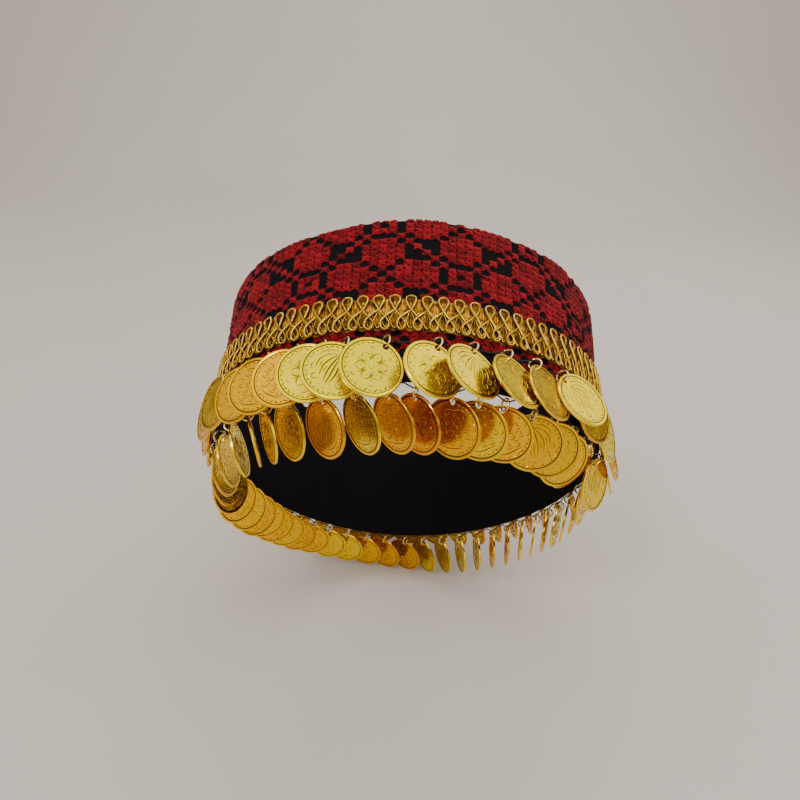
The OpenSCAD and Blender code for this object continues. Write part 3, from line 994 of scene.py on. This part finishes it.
def make_rings(level, row):
    """Jump rings of round wire, each with the slit where it was closed."""
    holes = np.array([middle + up * HOLE_REACH * MM for middle, across, up, face in row])
    parts = []
    for points in islands("jump_rings_" + level):
        axis = least_axis(points)
        middle = points.mean(0)
        down = holes[np.linalg.norm(holes - middle, axis=1).argmin()] - middle
        down -= (down @ axis) * axis
        down /= np.linalg.norm(down)
        side = np.cross(axis, down)
        slit = math.pi + rng.uniform(-1.1, 1.1)
        a = slit + np.linspace(SLIT_HALF, 2 * math.pi - SLIT_HALF, RING_POINTS)
        step = SLIT_STEP * np.linspace(-0.5, 0.5, RING_POINTS)
        path = middle * METRE + RING_RADIUS * (np.cos(a)[:, None] * down + np.sin(a)[:, None] * side)
        path += step[:, None] * axis
        parts.append(tube(path, np.broadcast_to(axis, path.shape), WIRE, RING_SIDES, closed=False))
    verts, faces, uv = joined(parts, 1)
    size = RING_POINTS * RING_SIDES
    ends = np.array(fan(range(size - RING_SIDES, size)) + fan(range(RING_SIDES - 1, -1, -1)))
    tips = (ends[None] + size * np.arange(len(parts))[:, None, None]).reshape(-1, 3)
    return mesh_object("ring_row_" + level, verts * MM, [faces, tips], uv, sharp=50)


# Everything

cloth = finish_piece(make_cloth(), black_cotton(), ["band"])
floss = red_floss()
stitches = [finish_piece(piece, floss) for piece in make_stitches()]
cord_gilt = gilt_cord()
finish_piece(make_cord(), cord_gilt, ["braid"])
finish_piece(make_plait(), cord_gilt)
finish_piece(make_strip(), gilt_strip())

coin_gilt, wire_gilt, thread_black = gilt_coin(), gilt_wire(), black_thread()
coin_body = coin_template()
branch_face, rosette_face, scroll_face = [relief_face(marks) for marks in (branch(), rosette(), scrolls())]
branch_down, scroll_turned = relief_face(branch(), 180), relief_face(scrolls(), 24)
coin_faces = [
    (scroll_face, branch_face), (branch_face, scroll_face), (rosette_face, branch_down),
    (scroll_turned, rosette_face), (branch_down, scroll_turned),
]
templates = [whole_coin(coin_body, front, back) for front, back in coin_faces]
for level in ("upper", "lower"):
    row = coin_frames("coins_" + level)
    finish_piece(make_coins(level, row, templates), coin_gilt, ["coins_" + level])
    finish_piece(make_rings(level, row), wire_gilt, ["jump_rings_" + level])
    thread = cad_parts["coin_thread_" + level]
    thread.data.materials.clear()
    thread.data.materials.append(thread_black)

# The camera, where the photograph was taken from. It was calibrated on a loop of 80 mm in half width
CALIBRATED_HALF_WIDTH = 80
LOOP_FROM_CAMERA = Vector((3.7, 267, 0.4)) * (HALF_WIDTH / CALIBRATED_HALF_WIDTH)
TURN, NOD, ROLL = math.radians(0.3), math.radians(-27.8), math.radians(3.0)
# The focal length and the picture's width in pixels, and the sensor's width in millimetres
FOCAL_PIXELS, PICTURE_PIXELS, SENSOR = 601, 800, 36

look = Matrix.Rotation(ROLL, 3, "Y") @ Matrix.Rotation(NOD, 3, "X") @ Matrix.Rotation(TURN, 3, "Z")
tip = Matrix.Rotation(-TILT, 3, "X")
camera_at = tip @ (-(look.transposed() @ LOOP_FROM_CAMERA) - Vector((0, MIDDLE, 0))) * MM
axes = tip @ look.transposed()
right, forward, up = axes.col[0], axes.col[1], axes.col[2]
camera = bpy.data.objects.new("camera", bpy.data.cameras.new("camera"))
camera.data.sensor_width = SENSOR
camera.data.lens = SENSOR * FOCAL_PIXELS / PICTURE_PIXELS
camera.data.clip_start = 0.01
camera.matrix_world = Matrix.Translation(camera_at) @ Matrix((right, up, -forward)).transposed().to_4x4()
bpy.context.scene.collection.objects.link(camera)
bpy.context.scene.camera = camera

# A pale floor just under the part, which bends up into a wall behind it
FLOOR_REACH, WALL_AT, BEND = 14.0, 1.6, 0.7
floor_at = cad_low.z - 0.0005
bend = np.radians(np.linspace(0, 90, 13))
back = np.r_[-FLOOR_REACH, WALL_AT - BEND + BEND * np.sin(bend), WALL_AT]
rise = np.r_[0, BEND - BEND * np.cos(bend), FLOOR_REACH]
sides = np.array([-FLOOR_REACH, FLOOR_REACH])
stage = np.stack(np.broadcast_arrays(sides[None], back[:, None], floor_at + rise[:, None]), -1)
floor = mesh_object("floor", stage.reshape(-1, 3), grid_faces(len(back), 2)[:, ::-1])
floor.data.materials.append(studio_floor())


def area_light(name, at, aim, size, power, colour=(1, 1, 1)):
    """A round light of a size in metres and a power in watts."""
    light = bpy.data.lights.new(name, "AREA")
    light.shape, light.size, light.energy, light.color = "DISK", size, power, colour
    obj = bpy.data.objects.new(name, light)
    obj.location = at
    obj.rotation_euler = (Vector(aim) - Vector(at)).to_track_quat("-Z", "Y").to_euler()
    bpy.context.scene.collection.objects.link(obj)


# Soft light from over the front, discs round the part for the gilt to mirror, and light for the wall
ORIGIN = (0, 0, 0)
area_light("top", (0, -0.35, 1.25), (0, -0.05, 0), 2.6, 16.0, (1, 0.975, 0.93))
area_light("key", (-0.55, -0.75, 1.0), ORIGIN, 0.2, 3.2)
area_light("front", (0.4, -1.3, 0.6), ORIGIN, 1.2, 2.4)
area_light("left", (-1.2, -0.1, 0.5), ORIGIN, 0.9, 1.6)
area_light("right", (1.2, 0.0, 0.6), ORIGIN, 0.9, 1.6, (1, 0.98, 0.95))
area_light("back", (0.3, 1.0, 0.9), ORIGIN, 0.6, 1.3)
area_light("edge", (0.86, 0.56, 0.74), ORIGIN, 0.8, 2.2, (1, 0.97, 0.92))
area_light("wall", (0, 0.55, 1.5), (0, 1.5, 0.2), 1.0, 6)
WORLD_COLOUR, WORLD_STRENGTH = (0.80, 0.76, 0.72, 1), 0.42
world = bpy.data.worlds.new("studio")
world.use_nodes = True
world.node_tree.nodes["Background"].inputs[0].default_value = WORLD_COLOUR
world.node_tree.nodes["Background"].inputs[1].default_value = WORLD_STRENGTH
bpy.context.scene.world = world
